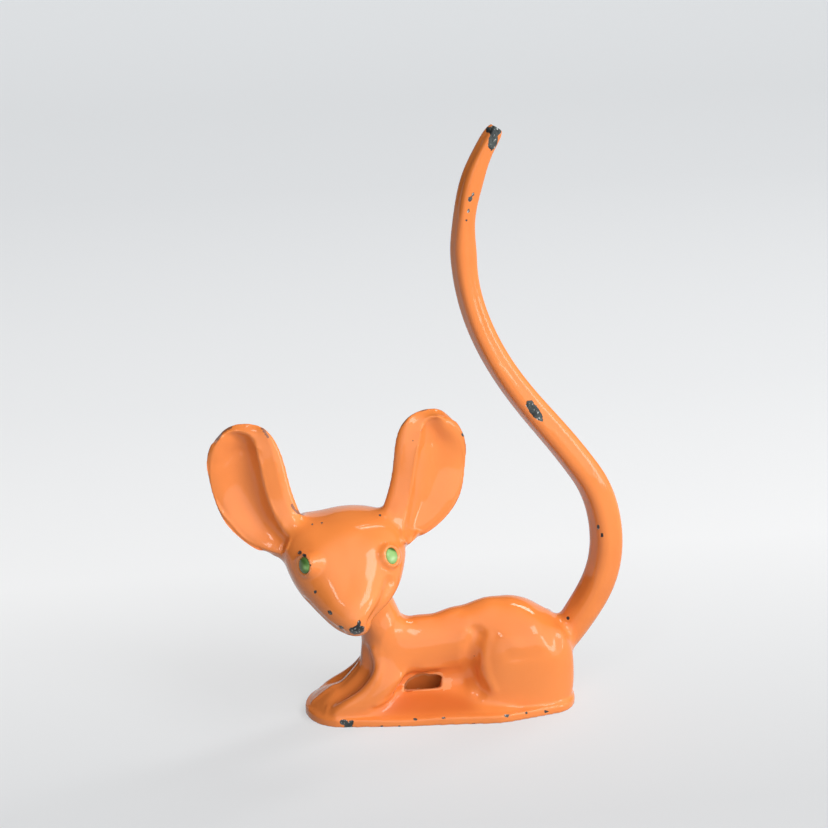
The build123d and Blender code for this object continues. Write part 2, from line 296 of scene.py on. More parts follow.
# Rims that are worn thin
worn_rims_px = [
    [(262, 428), (265, 432), (268, 437)],
    [(231, 427), (222, 432), (217, 439)],
    [(401, 425), (407, 417), (415, 411), (426, 409)],
    [(292, 505), (296, 511), (303, 514)],
]
# The window's broken edge and the facet beside it, which get a painted highlight, and the pocket under the
# belly, which gets painted shade
window_edge_px = [(403, 690), (408, 680.5), (422, 674), (431, 675), (441, 674), (442, 687), (431, 689)]
pocket_px = [(372, 714), (402, 692), (442, 690), (470, 698), (480, 712), (430, 716)]
facet_px = [(443, 677), (453, 678), (451, 689), (443, 691)]

# Colours of the enamel, of its painted shade in creases and the pocket, of its pale painted highlight and
# where it is worn, and of the metal under it
enamel_colours = (0.88, 0.248, 0.054, 1), (0.92, 0.27, 0.062, 1)
crease_shade_colour = (0.72, 0.15, 0.026, 1)
pocket_shade_colour = (0.66, 0.135, 0.024, 1)
painted_highlight_colour = (0.93, 0.42, 0.19, 1)
worn_colour = (0.20, 0.085, 0.05, 1)
metal_colours = (0.022, 0.027, 0.028, 1), (0.085, 0.10, 0.095, 1)
speck_colour = (0.55, 0.57, 0.55, 1)


# Helpers that any piece uses

def only(*objects):
    """Select just these objects and make the first one active."""
    bpy.ops.object.select_all(action="DESELECT")
    for each in objects:
        each.select_set(True)
    bpy.context.view_layer.objects.active = objects[0]


def apply_modifier(piece, name, kind, **settings):
    """Add a modifier and apply it at once."""
    only(piece)
    modifier = piece.modifiers.new(name, kind)
    for key, value in settings.items():
        setattr(modifier, key, value)
    bpy.ops.object.modifier_apply(modifier=name)


def read_points(mesh):
    """A mesh's vertices as rows, in millimetres."""
    flat = np.empty(len(mesh.vertices) * 3, np.float32)
    mesh.vertices.foreach_get("co", flat)
    return flat.reshape(-1, 3).astype(float) / mm


def write_points(mesh, points):
    """Put rows in millimetres back into a mesh."""
    mesh.vertices.foreach_set("co", (points * mm).astype(np.float32).ravel())
    mesh.update()


def write_attribute(mesh, name, values):
    """Keep one number for each vertex on the mesh, for its finish."""
    attribute = mesh.attributes.new(name, "FLOAT", "POINT")
    attribute.data.foreach_set("value", values.astype(np.float32))


def curve_through(places, step=0.3):
    """Points a step apart on a smooth curve through places."""
    places = [np.asarray(place, float) for place in places]
    ends = [2 * places[0] - places[1]] + places + [2 * places[-1] - places[-2]]
    found = []
    for a, b, c, d in zip(ends, ends[1:], ends[2:], ends[3:]):
        count = max(2, int(np.linalg.norm(c - b) / step))
        for t in np.arange(count) / count:
            found.append(0.5 * (2 * b + (c - a) * t + (2 * a - 5 * b + 4 * c - d) * t**2
                                + (3 * b - a - 3 * c + d) * t**3))
    found.append(places[-1])
    return np.array(found)


# Where the photograph's pixels and the head's own sides are

sight_back = np.array([
    math.sin(view_turn) * math.cos(view_height),
    -math.cos(view_turn) * math.cos(view_height),
    math.sin(view_height),
])
sight_right = np.array([math.cos(view_turn), math.sin(view_turn), 0.0])
sight_up = np.cross(sight_back, sight_right)
eye_point = np.array(view_target) + view_distance * sight_back


def sight_line(px, py):
    """The direction from the camera through a pixel."""
    scale = view_sensor / view_lens / photo_side_px
    line = sight_right * (px - photo_side_px / 2) * scale - sight_up * (py - photo_side_px / 2) * scale
    line = line - sight_back
    return line / np.linalg.norm(line)


def middle_of(node):
    """The middle of a node's box, in millimetres."""
    low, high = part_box(node)
    return (np.array(low) + np.array(high)) / 2 / mm


def head_axes():
    """The head's own left, up and forward directions."""
    forward = np.array([
        -math.cos(head_turn) * math.cos(head_nod),
        -math.sin(head_turn) * math.cos(head_nod),
        -math.sin(head_nod),
    ])
    level_left = np.array([math.sin(head_turn), -math.cos(head_turn), 0.0])
    level_up = np.cross(forward, level_left)
    left = level_left * math.cos(head_tilt) + level_up * math.sin(head_tilt)
    up = level_up * math.cos(head_tilt) - level_left * math.sin(head_tilt)
    return left, up, forward


head_left, head_up, head_forward = head_axes()
between_eyes = (middle_of("left_eye") + middle_of("right_eye")) / 2


def across_head(points):
    """Points mirrored to the other side of the face."""
    return points - 2 * np.outer((points - between_eyes) @ head_left, head_left)


def across_body(points):
    """Points mirrored to the other flank."""
    return points * np.array([1, -1, 1])


def find_pixels(points):
    """Where points show in the photograph, and the millimetres to a pixel there."""
    away = points - eye_point
    scale = -(away @ sight_back) * view_sensor / view_lens / photo_side_px
    middle = photo_side_px / 2
    return np.stack([middle + away @ sight_right / scale, middle - away @ sight_up / scale], 1), scale


class Clay:
    """A dense skin that strokes and smoothing move, in millimetres."""

    def __init__(self, piece):
        self.piece = piece
        self.mesh = piece.data
        self.points = read_points(self.mesh)
        edges = np.empty(len(self.mesh.edges) * 2, np.int32)
        self.mesh.edges.foreach_get("vertices", edges)
        self.ends = edges.reshape(-1, 2)
        self.count = np.bincount(edges, minlength=len(self.points))[:, None]
        self.settle()

    def settle(self):
        """Write the points back and find the surface and its normals again."""
        write_points(self.mesh, self.points)
        flat = np.empty(len(self.points) * 3, np.float32)
        self.mesh.vertex_normals.foreach_get("vector", flat)
        self.normals = flat.reshape(-1, 3).astype(float)

    def find_surface(self):
        """Set the surface that pixels and places are laid on."""
        faces = [tuple(face.vertices) for face in self.mesh.polygons]
        self.surface = BVHTree.FromPolygons([Vector(point) for point in self.points], faces)

    def spread(self, values):
        """The mean of each vertex's neighbours."""
        a, b = self.ends.T
        size = len(values)
        columns = [np.bincount(a, v[b], size) + np.bincount(b, v[a], size) for v in values.T]
        return np.stack(columns, 1) / self.count

    def smooth(self, times, weight=1.0):
        """Take out facets and keep the volume."""
        weight = np.broadcast_to(weight, len(self.points))[:, None]
        for _ in range(times):
            for step in (0.5, -0.52):
                self.points += step * weight * (self.spread(self.points) - self.points)
        self.settle()

    def fill(self, times, weight=1.0, refresh=8):
        """Let enamel and solder run into the inner corners, and leave the outer ones."""
        weight = np.broadcast_to(weight, len(self.points))
        for turn in range(times):
            if turn % refresh == 0:
                self.settle()
            pull = self.spread(self.points) - self.points
            rise = (pull * self.normals).sum(1)
            along = pull - rise[:, None] * self.normals
            gain = np.maximum(rise, 0) * weight
            self.points += 0.5 * (gain[:, None] * self.normals + along * weight[:, None])
        self.settle()

    def gaps_to(self, node, reach):
        """How far each vertex is from a casting, up to a reach."""
        faces = [tuple(face.vertices) for face in node.data.polygons]
        corners = read_points(node.data)
        surface = BVHTree.FromPolygons([Vector(point) for point in corners], faces)
        close = ((self.points > corners.min(0) - reach) & (self.points < corners.max(0) + reach)).all(1)
        gaps = np.full(len(self.points), np.inf)
        for index in np.flatnonzero(close):
            found = surface.find_nearest(Vector(self.points[index]), reach)[3]
            if found is not None:
                gaps[index] = found
        return gaps

    def find_pixels(self):
        """Where each vertex shows in the photograph, and the millimetres to a pixel there."""
        self.pixels, self.pixel_size = find_pixels(self.points)

    def find_seen(self):
        """Which vertices the camera sees: the first surface under their pixel, facing it."""
        self.seen = (self.normals @ sight_back > 0.05)
        for index in np.flatnonzero(self.seen):
            away = self.points[index] - eye_point
            hit = self.surface.ray_cast(Vector(eye_point), Vector(away))[3]
            self.seen[index] = hit is None or hit > np.linalg.norm(away) - 1.0

    def nudge(self, nudges):
        """Move the skin in the photograph's plane, by a soft bump round each place."""
        self.find_pixels()
        shift = np.zeros_like(self.pixels)
        for x, y, right, down, reach in nudges.values():
            near = np.exp(-((self.pixels - (x, y))**2).sum(1) / reach**2)
            shift += near[:, None] * np.array([right, down], float)
        shift *= self.pixel_size[:, None]
        self.points += shift[:, :1] * sight_right - shift[:, 1:] * sight_up
        self.settle()

    def calm(self, outline, times, mirror=False):
        """Stretch the skin inside an outline of pixels like a film, on one flank or the other."""
        points, normals = self.points, self.normals
        if mirror:
            points, normals = across_body(points), across_body(normals)
        pixels, _ = find_pixels(points)
        inside = inside_outline(pixels, np.array(outline))
        inside &= (normals @ sight_back > facing_least) & (points[:, 1] < -flank_from_middle)
        self.stretch(inside, times)

    def stretch(self, moving, times):
        """Stretch the moving vertices like a film between the ones beside them."""
        touched = moving[self.ends].any(1)
        kept, local = np.unique(self.ends[touched], return_inverse=True)
        a, b = local.reshape(-1, 2).T
        count = np.bincount(np.concatenate([a, b]))[:, None]
        moving = moving[kept][:, None]
        film = self.points[kept]
        for _ in range(times):
            sums = [np.bincount(a, v[b], len(film)) + np.bincount(b, v[a], len(film)) for v in film.T]
            film = np.where(moving, 0.5 * film + 0.5 * np.stack(sums, 1) / count, film)
        self.points[kept] = film
        self.settle()

    def melt(self, place, radius, times):
        """Let a small lump round a place run flat."""
        weight = 1 - ease(np.linalg.norm(self.points - place, axis=1), 0.4 * radius, radius)
        for _ in range(times):
            self.points += 0.5 * weight[:, None] * (self.spread(self.points) - self.points)
        self.settle()

    def under_pixels(self, pixels):
        """The places on the surface that pixels of the photograph show."""
        hits = [self.surface.ray_cast(Vector(eye_point), Vector(sight_line(*pixel)))[0] for pixel in pixels]
        return np.array([hit for hit in hits if hit is not None])

    def on_surface(self, places):
        """The nearest places on the surface, with the surface's normals there."""
        found = [self.surface.find_nearest(Vector(place)) for place in places]
        return np.array([f[0] for f in found]), np.array([f[1] for f in found])

    def nearness(self, line, radius):
        """How near each vertex is to a line on its own side of the skin: 1 on it, 0 at the radius."""
        line, facing = self.on_surface(curve_through(line) if len(line) > 1 else line)
        low, high = line.min(0) - radius, line.max(0) + radius
        close = np.flatnonzero(((self.points > low) & (self.points < high)).all(1))
        nearness = np.zeros(len(self.points))
        if not len(close):
            return nearness
        gaps = np.linalg.norm(self.points[close][:, None] - line[None], axis=2)
        nearest = gaps.argmin(1)
        same_side = (self.normals[close] * facing[nearest]).sum(1) > 0.1
        nearness[close] = np.clip(1 - gaps.min(1) / radius, 0, 1) * same_side
        return nearness

    def stroke(self, line, radius, height, sharp=False):
        """Raise or sink the skin along a line, roundly or to a crest."""
        near = self.nearness(line, radius)
        profile = near**2 if sharp else near**2 * (3 - 2 * near)
        self.points += self.normals * (height * profile)[:, None]


def cast_skin():
    """One closed skin over all the castings and eyes."""
    only(*[frame["nodes"][name] for name in casting_names + eye_names])
    bpy.ops.object.duplicate()
    bpy.ops.object.join()
    skin = bpy.context.active_object
    skin.name = "skin"
    bpy.ops.object.parent_clear(type="CLEAR")
    for key in list(skin.keys()):
        del skin[key]
    skin.data.materials.clear()
    bpy.ops.object.mode_set(mode="EDIT")
    bpy.ops.mesh.select_all(action="SELECT")
    bpy.ops.mesh.remove_doubles(threshold=0.001 * mm)
    bpy.ops.object.mode_set(mode="OBJECT")
    apply_modifier(skin, "swell", "DISPLACE", strength=solder_swell * mm, mid_level=0.0)
    apply_modifier(skin, "grain", "REMESH", mode="VOXEL", voxel_size=skin_grain * mm)
    keep_outer_shell(skin)
    return skin


def keep_outer_shell(skin):
    """Delete the sealed hollows, which are loose shells inside the skin."""
    only(skin)
    bpy.ops.object.mode_set(mode="EDIT")
    bpy.ops.mesh.select_all(action="SELECT")
    bpy.ops.mesh.separate(type="LOOSE")
    bpy.ops.object.mode_set(mode="OBJECT")
    shells = sorted(bpy.context.selected_objects, key=lambda each: -len(each.data.vertices))
    for shell in shells[1:]:
        bpy.data.objects.remove(shell)
    shells[0].name = "skin"


def shape_skin(skin):
    """Run fillets into the joints and draw the forms that the castings leave plain."""
    clay = Clay(skin)
    clay.points -= clay.normals * solder_swell
    clay.gaps = {name: clay.gaps_to(frame["nodes"][name], joint_reach) for name in casting_names}
    clay.smooth(cast_smoothing, firm_edges(clay))
    clay.fill(joint_turns, joint_weight(clay))
    clay.smooth(joint_smoothing, firm_edges(clay))
    clay.nudge(outline_nudges)
    for mirror in (False, True):
        clay.calm(flank_px, flank_turns, mirror)
    even_rump(clay)
    clay.find_surface()
    for lump in ear_lumps_px:
        clay.melt(clay.under_pixels([lump])[0], lump_reach, ear_lump_turns)
    for lump in rump_lumps_px:
        clay.melt(clay.under_pixels([lump])[0], lump_reach, rump_lump_turns)
    nape = middle_of("head_shell") - nape_back * head_forward
    clay.melt(clay.on_surface([nape])[0][0], nape_reach, nape_turns)
    even_tail(clay)
    clay.find_surface()
    shape_face(clay)
    shape_body(clay)
    square_tail(clay)
    clay.settle()
    clay.find_surface()
    clay.find_pixels()
    carve_cup(clay, "right_ear", far_cup_px, far_rim_px, cup_depths[0])
    carve_cup(clay, "left_ear", near_cup_px, near_rim_px, cup_depths[1])
    clay.find_surface()
    clay.melt(clay.under_pixels([rim_notch_px])[0], notch_reach, notch_turns)
    clay.smooth(last_smoothing, firm_edges(clay))
    clay.find_surface()
    clay.eyes = {name: seat_eye(clay, name) for name in eye_names}
    clay.settle()
    clay.smooth(seat_smoothing, firm_edges(clay))
    clay.points[:, 2] = np.maximum(clay.points[:, 2], 0)
    clay.settle()
    mark_wear_and_painted_light(clay)
    return clay


def ease(values, low, high):
    """Values from low to high as 0 to 1, smoothly."""
    share = np.clip((values - low) / (high - low), 0, 1)
    return share**2 * (3 - 2 * share)


def firm_edges(clay):
    """How freely the skin may smooth: not at all at the broken edge of the window."""
    gap = np.linalg.norm((clay.points - np.array(window_middle)) / np.array(window_reach), axis=1)
    return ease(gap, 0.9, 1.3)


def joint_weight(clay):
    """How freely enamel runs: most where two castings meet, some in the body's folds."""
    weight = np.zeros(len(clay.points))
    for first, second, strength in joints:
        gap = np.maximum(clay.gaps[first], clay.gaps[second])
        weight = np.maximum(weight, strength * (1 - ease(gap, 0.3 * joint_reach, joint_reach)))
    in_body = np.isfinite(clay.gaps["body_shell"]) & ~np.isfinite(clay.gaps["head_shell"])
    x, _, z = clay.points.T
    above_step = ease(z, 3.0, 5.5) + (1 - ease(x, -2.0, 6.0)) * ease(z, 2.3, 3.2)
    weight = np.maximum(weight, 0.35 * in_body * np.clip(above_step, 0, 1))
    return weight * firm_edges(clay)


def shape_face(clay):
    """The ridges that run to the nose, the hollows under them and the nose."""
    clay.stroke(clay.under_pixels(brow_px), *brow_form)
    for pixels, form in ((cheek_plane_px, cheek_plane_form), (cheek_hollow_px, cheek_hollow_form)):
        line = clay.under_pixels(pixels)
        clay.stroke(line, *form)
        clay.stroke(across_head(line), *form)
    clay.stroke(clay.under_pixels(nose_px), *nose_form)


def inside_outline(places, outline):
    """Which places are inside a closed outline."""
    found = np.zeros(len(places), bool)
    x, y = places.T
    for (ax, ay), (bx, by) in zip(outline, np.roll(outline, -1, 0)):
        crosses = (ay > y) != (by > y)
        with np.errstate(divide="ignore", invalid="ignore"):
            found ^= crosses & (x < (bx - ax) * (y - ay) / (by - ay) + ax)
    return found


def carve_cup(clay, name, crest_px, rim_px, depth):
    """A smooth bowl in an ear, steep by the crest of its inner band and shallow by its outer rim."""
    crest_line, rim_line = curve_through(crest_px, 1.0), curve_through(rim_px, 1.0)
    outline = np.concatenate([crest_line, rim_line[::-1]])
    crest_px = np.array(crest_px, float)
    away = crest_px - outline.mean(0)
    band = clay.under_pixels(crest_px + band_middle * away / np.linalg.norm(away, axis=1)[:, None])
    rim = clay.under_pixels(rim_px)
    edge = np.concatenate([band, rim])
    front = np.linalg.svd(edge - edge.mean(0))[2][2]
    front *= np.sign(front @ sight_back)
    levels = clay.points @ sight_back
    in_front = (clay.normals @ front > cup_facing) & (levels > (edge @ sight_back).min() - cup_back)
    chosen = np.flatnonzero(in_front & (clay.gaps[name] < cup_skin))
    places, levels = clay.pixels[chosen], levels[chosen]
    inside = inside_outline(places, outline)
    crest_gaps = np.linalg.norm(places[:, None] - crest_line[None], axis=2).min(1)
    rim_gaps = np.linalg.norm(places[:, None] - rim_line[None], axis=2).min(1)
    share = crest_gaps / (crest_gaps + rim_gaps + 1e-6)
    band_level, rim_level = nearest_level(places, band), nearest_level(places, rim)
    opening = np.minimum(1, (crest_gaps + rim_gaps) / cup_opening)
    bowl = band_level * (1 - share) + rim_level * share
    bowl = bowl - depth * opening * np.sin(math.pi * (1 - (1 - share)**cup_steepness))
    carved = (bowl - levels) * ease(rim_gaps, *cup_rim_fade)
    raised = np.maximum(band_level - band_round - levels, 0) * (1 - ease(crest_gaps, *band_fade))
    lifted = np.maximum(rim_level - band_round - levels, 0) * (1 - ease(rim_gaps, *rim_fade))
    raised = np.maximum(raised, lifted * (clay.gaps["head_shell"][chosen] > head_clearance))
    clay.points[chosen] += np.outer(np.where(inside, carved, raised), sight_back)
    strip = np.zeros(len(clay.points), bool)
    strip[chosen] = ~inside & (crest_gaps < band_strip) & (clay.gaps[name][chosen] < band_skin)
    clay.stretch(strip, band_turns)
    calm = np.zeros(len(clay.points))
    calm[chosen] = np.where(inside, ease(rim_gaps, *calm_rim_fade), 1 - ease(crest_gaps, *calm_band_fade))
    clay.smooth(cup_smoothing, calm)


def nearest_level(places, known):
    """How near to the camera the skin is at the known points by each pixel place."""
    pixels, _ = find_pixels(known)
    dense = curve_through(np.column_stack([pixels, known @ sight_back]), 2.0)
    gaps = np.linalg.norm(places[:, None] - dense[None, :, :2], axis=2)
    weights = 1 / (gaps**2 + level_blur**2)**1.5
    return (weights * dense[:, 2]).sum(1) / weights.sum(1)


def seat_eye(clay, name):
    """Let a round seat into the skin for the glass, with a lip, and give back its frame."""
    base = clay.under_pixels([eye_px[name]])[0]
    near = np.linalg.norm(clay.points - base, axis=1) < eye_facet
    outward = clay.normals[near].mean(0)
    outer = np.sign((base - between_eyes) @ head_left) * head_left
    while outward @ sight_back > eye_slant * np.linalg.norm(outward):
        outward = outward + eye_slant_step * outer
    outward /= np.linalg.norm(outward)
    side = np.cross(outward, head_up)
    side /= np.linalg.norm(side)
    up = np.cross(side, outward)
    base = base - eye_sink * outward
    local = clay.points - base
    x, y, z = local @ side, local @ up, local @ outward
    round_gap = np.hypot(x, y)
    in_reach = (round_gap < eye_reach) & (np.abs(z) < eye_skin)
    chosen = np.flatnonzero(in_reach & (clay.normals @ outward > -0.2))
    gap = round_gap[chosen]
    lip = eye_lip * np.exp(-((gap - eye_radius - eye_lip_out) / eye_lip_width)**2)
    seat_inner, seat_outer = (eye_radius + step for step in eye_seat_edge)
    form = lip - eye_seat * (1 - ease(gap, seat_inner, seat_outer))
    target = z[chosen] * ease(gap, eye_facet - eye_facet_fade, eye_reach) + form
    clay.points[chosen] += np.outer(target - z[chosen], outward)
    return base, side, up, outward


def mark_wear_and_painted_light(clay):
    """Keep on the skin where it is chipped and worn, and where painted shade goes in its creases and pocket
    and painted highlight on the window's broken edge and round the eyes, for its finish.
    """
    clay.find_pixels()
    clay.find_surface()
    clay.find_seen()
    clay.marks = {}
    chip = np.full(len(clay.points), -3.0)
    for px, py, wide, high, turn in chips:
        turn = math.radians(turn)
        x, y = (clay.pixels - (px, py)).T
        along = (x * math.cos(turn) + y * math.sin(turn)) / wide
        across = (y * math.cos(turn) - x * math.sin(turn)) / high
        depth = (1 - np.hypot(along, across)) * min(wide, high) * clay.pixel_size
        chip = np.where(clay.seen, np.maximum(chip, depth), chip)
    clay.marks["chip"] = chip
    worn = np.zeros(len(clay.points))
    for rim in worn_rims_px:
        gaps = np.linalg.norm(clay.pixels[:, None] - curve_through(rim, 1.5)[None], axis=2).min(1)
        worn = np.maximum(worn, (1 - ease(gaps, 0.5, 3.0)) * clay.seen)
    clay.marks["worn"] = worn
    # Painted highlight: paler enamel along the window's broken edge, on the facet beside it and in a ring
    # round each eye
    edge = curve_through(window_edge_px + window_edge_px[:1], 1.0)
    gaps = np.linalg.norm(clay.pixels[:, None] - edge[None], axis=2).min(1)
    pale = (1 - ease(gaps, 0.8, 2.2)) * clay.seen
    pale = np.maximum(pale, 0.8 * inside_outline(clay.pixels, np.array(facet_px)) * clay.seen)
    for base, side, up, outward in clay.eyes.values():
        local = clay.points - base
        ring = np.abs(np.hypot(local @ side, local @ up) - eye_radius - eye_ring_out)
        pale = np.maximum(pale, 0.7 * (1 - ease(ring, *eye_ring_fade)) * (np.abs(local @ outward) < 1.5))
    clay.marks["pale"] = pale
    # Painted shade: the enamel is darkened where the skin is hollow, in its creases and corners
    hollow = ((clay.spread(clay.points) - clay.points) * clay.normals).sum(1)[:, None]
    for _ in range(crease_shade_turns):
        hollow = clay.spread(hollow)
    clay.marks["hollow"] = hollow[:, 0]
    # Painted shade: the enamel is darkened in the pocket under the belly
    pool = np.zeros(len(clay.points))
    for points in (clay.points, across_body(clay.points)):
        pixels, _ = find_pixels(points)
        pool = np.maximum(pool, inside_outline(pixels, np.array(pocket_px)) & (points[:, 1] < 0))
    pool = pool[:, None]
    for _ in range(pocket_shade_turns):
        pool = clay.spread(pool)
    clay.marks["pool"] = pool[:, 0]


def shape_body(clay):
    """The back's line, the keel and flutes of the chest, the legs' ridges and the haunches' creases."""
    keel = np.array([(x, 0, z) for x, z in keel_places])
    lines = [
        (back_px, back_form),
        (leg_ridge_px, leg_ridge_form),
        (leg_ridge_px, leg_crest_form),
        (flute_px, flute_form),
        (leg_heel_px, leg_heel_form),
        (haunch_crease_px, haunch_crease_form),
        (haunch_edge_px, haunch_edge_form),
    ]
    for pixels, form in lines:
        line = clay.under_pixels(pixels)
        clay.stroke(line, *form)
        clay.stroke(across_body(line), *form)
    clay.stroke(keel, *keel_form, sharp=True)


def even_rump(clay):
    """One even surface over the rump, where the castings meet in small waves."""
    x, y, z = clay.points.T
    turn, reach = np.arctan2(y, z - rump_axis), np.hypot(y, z - rump_axis)
    side = np.degrees(np.abs(turn))
    start = np.interp(side, rump_start_sides, rump_starts)
    weight = ease(x - start, 0.0, rump_start_fade) * (1 - ease(x, *rump_ends))
    weight = weight * (1 - ease(side, *rump_side_fade))
    facing = clay.normals[:, 1] * np.sin(turn) + clay.normals[:, 2] * np.cos(turn)
    chosen = np.flatnonzero((weight > 0) & (facing > facing_least) & (clay.gaps["body_shell"] < rump_skin))
    weight, turn, reach = weight[chosen], turn[chosen], reach[chosen]
    along = (x[chosen] - rump_middle) / rump_half
    along_powers, round_powers = (range(count) for count in rump_powers)
    terms = np.stack([along**i * turn**j for i in along_powers for j in round_powers], 1)
    fit = np.linalg.lstsq(terms * weight[:, None], reach * weight, rcond=None)[0]
    step = (terms @ fit - reach) * weight
    clay.points[chosen, 1] += step * np.sin(turn)
    clay.points[chosen, 2] += step * np.cos(turn)
    clay.settle()


def even_tail(clay):
    """Let the tail's depth taper evenly to its tip."""
    low, full = tail_even_heights
    chosen = np.flatnonzero((clay.gaps["tail"] < 0.4) & (clay.points[:, 2] > low))
    heights, depths = clay.points[chosen, 2], clay.points[chosen, 1]
    levels = np.arange(low + 1, heights.max() - 1.5, 1.5)
    slices = [depths[np.abs(heights - level) < 1.2] for level in levels]
    middles = np.interp(heights, levels, [(each.max() + each.min()) / 2 for each in slices])
    halves = [(each.max() - each.min()) / 2 for each in slices]
    even = np.polynomial.Polynomial.fit(levels, halves, 3)(heights)
    share = even / np.interp(heights, levels, halves) - 1
    clay.points[chosen, 1] += (depths - middles) * share * ease(heights, low, full)
    clay.settle()


def square_tail(clay):
    """Four soft flats along the tail, as its mould left them."""
    on_tail = (1 - ease(clay.gaps["tail"], 0.2, 1.0)) * ease(clay.points[:, 2], *tail_root_heights)
    side = np.hypot(clay.normals[:, 0], clay.normals[:, 2]) * np.sign(clay.normals[:, 0])
    turn = np.arctan2(side, -clay.normals[:, 1])
    inset = tail_flat * (0.8 + np.cos(4 * (turn - tail_roll))) * np.nan_to_num(on_tail)
    clay.points -= clay.normals * inset[:, None]


def cut_into_castings(skin, clay):
    """A closed piece of the skin for each casting, with the whole skin's normals."""
    mesh = skin.data
    nearest = np.stack([clay.gaps[name] for name in casting_names]).argmin(0)
    corners = np.empty(len(mesh.loops), np.int32)
    mesh.loops.foreach_get("vertex_index", corners)
    owners = np.sort(nearest[corners.reshape(-1, 4)], axis=1)[:, 1].astype(np.int32)
    normals = mesh.attributes.new("skin_normal", "FLOAT_VECTOR", "POINT")
    normals.data.foreach_set("vector", clay.normals.astype(np.float32).ravel())
    for name, values in clay.marks.items():
        write_attribute(mesh, name, values)
    for name in casting_names:
        mesh.materials.append(bpy.data.materials.new(name))
    mesh.polygons.foreach_set("material_index", owners)
    only(skin)
    bpy.ops.object.mode_set(mode="EDIT")
    bpy.ops.mesh.select_all(action="SELECT")
    bpy.ops.mesh.separate(type="MATERIAL")
    bpy.ops.object.mode_set(mode="OBJECT")
    pieces = {}
    for piece in list(bpy.context.selected_objects):
        name = piece.data.materials[piece.data.polygons[0].material_index].name
        piece.name = name + "_enamelled"
        piece.data.name = piece.name
        close_piece(piece)
        pieces[name] = piece
    return pieces


def close_piece(piece):
    """Turn a piece's open edges inwards, close them and give it the whole skin's normals."""
    only(piece)
    piece.data.materials.clear()
    bpy.ops.object.mode_set(mode="EDIT")
    bpy.ops.mesh.select_mode(type="EDGE")
    bpy.ops.mesh.select_all(action="DESELECT")
    bpy.ops.mesh.select_non_manifold()
    bpy.ops.mesh.extrude_edges_move()
    bpy.ops.mesh.select_mode(type="VERT")
    bpy.ops.object.mode_set(mode="OBJECT")
    points = read_points(piece.data)
    normals = np.empty(len(points) * 3, np.float32)
    piece.data.attributes["skin_normal"].data.foreach_get("vector", normals)
    normals = normals.reshape(-1, 3)
    chosen = np.empty(len(points), bool)
    piece.data.vertices.foreach_get("select", chosen)
    points[chosen] -= seam_depth * normals[chosen]
    write_points(piece.data, points)
    bpy.ops.object.mode_set(mode="EDIT")
    bpy.ops.mesh.select_all(action="DESELECT")
    bpy.ops.mesh.select_non_manifold()
    bpy.ops.mesh.fill_holes(sides=0)
    bpy.ops.mesh.select_mode(type="FACE")
    bpy.ops.object.mode_set(mode="OBJECT")
    bpy.ops.object.shade_smooth()
    piece.data.normals_split_custom_set_from_vertices(normals.tolist())
    piece.data.attributes.remove(piece.data.attributes["skin_normal"])


# Finishes

class Value:
    """A shader socket.  A sum on it adds a Math node."""

    def __init__(self, finish, socket):
        self.finish = finish
        self.socket = socket

    def math(self, operation, *values):
        return self.finish.node("ShaderNodeMath", {"operation": operation}, dict(enumerate(values)))

    def __add__(self, other):
        return self.math("ADD", self, other)

    def __sub__(self, other):
        return self.math("SUBTRACT", self, other)

    def __rsub__(self, other):
        return self.math("SUBTRACT", other, self)

    def __mul__(self, other):
        return self.math("MULTIPLY", self, other)

    __radd__ = __add__
    __rmul__ = __mul__


class Finish:
    """A material whose nodes are added one call at a time."""

    def __init__(self, name):
        self.material = bpy.data.materials.new(name)
        self.material.use_nodes = True
        self.tree = self.material.node_tree
        self.shader = self.tree.nodes["Principled BSDF"]
        self.place = self.node("ShaderNodeTexCoord", output="Object")

    def node(self, kind, settings=None, inputs=None, output=0):
        """Add a node with its settings, then its inputs, and give back one output."""
        new = self.tree.nodes.new(kind)
        for key, value in (settings or {}).items():
            if key == "stops":
                self.set_stops(new.color_ramp, value)
            else:
                setattr(new, key, value)
        for key, value in (inputs or {}).items():
            self.feed(new.inputs[key], value)
        return Value(self, new.outputs[output])

    def set_stops(self, ramp, stops):
        """Give a ramp its stops, each a position and a colour."""
        while len(ramp.elements) < len(stops):
            ramp.elements.new(1.0)
        for element, (position, colour) in zip(ramp.elements, stops):
            element.position = position
            element.color = colour

    def feed(self, socket, value):
        """Link a value to a socket, or set a number or colour on it."""
        if isinstance(value, Value):
            self.tree.links.new(value.socket, socket)
        else:
            socket.default_value = value

    def mark(self, name):
        """A number kept on the mesh."""
        return self.node("ShaderNodeAttribute", {"attribute_name": name}, output="Fac")

    def noise(self, scale, detail=2.0, roughness=0.5):
        """Noise over the object's own place."""
        return self.node("ShaderNodeTexNoise", {}, {
            "Vector": self.place, "Scale": scale, "Detail": detail, "Roughness": roughness,
        })

    def mix(self, share, first, second):
        """A colour between two colours."""
        return self.node("ShaderNodeMix", {"data_type": "RGBA"}, {0: share, 6: first, 7: second}, output=2)

    def between(self, value, low, high, start=0.0, end=1.0):
        """A value spread smoothly from one range to another."""
        return self.node("ShaderNodeMapRange", {"interpolation_type": "SMOOTHSTEP"}, {
            "Value": value, "From Min": low, "From Max": high, "To Min": start, "To Max": end,
        })

    def parts(self, vector):
        """A vector's three parts."""
        x = self.node("ShaderNodeSeparateXYZ", {}, {0: vector}, output="X")
        split = x.socket.node
        return x, Value(self, split.outputs["Y"]), Value(self, split.outputs["Z"])

    def spread(self, value, low, high):
        """A value spread evenly from a range to 0 to 1."""
        return self.node("ShaderNodeMapRange", {}, {"Value": value, "From Min": low, "From Max": high})

    def surface(self, **inputs):
        """Set or link the shader's own sockets."""
        for key, value in inputs.items():
            self.feed(self.shader.inputs[key.replace("_", " ")], value)
        return self.material


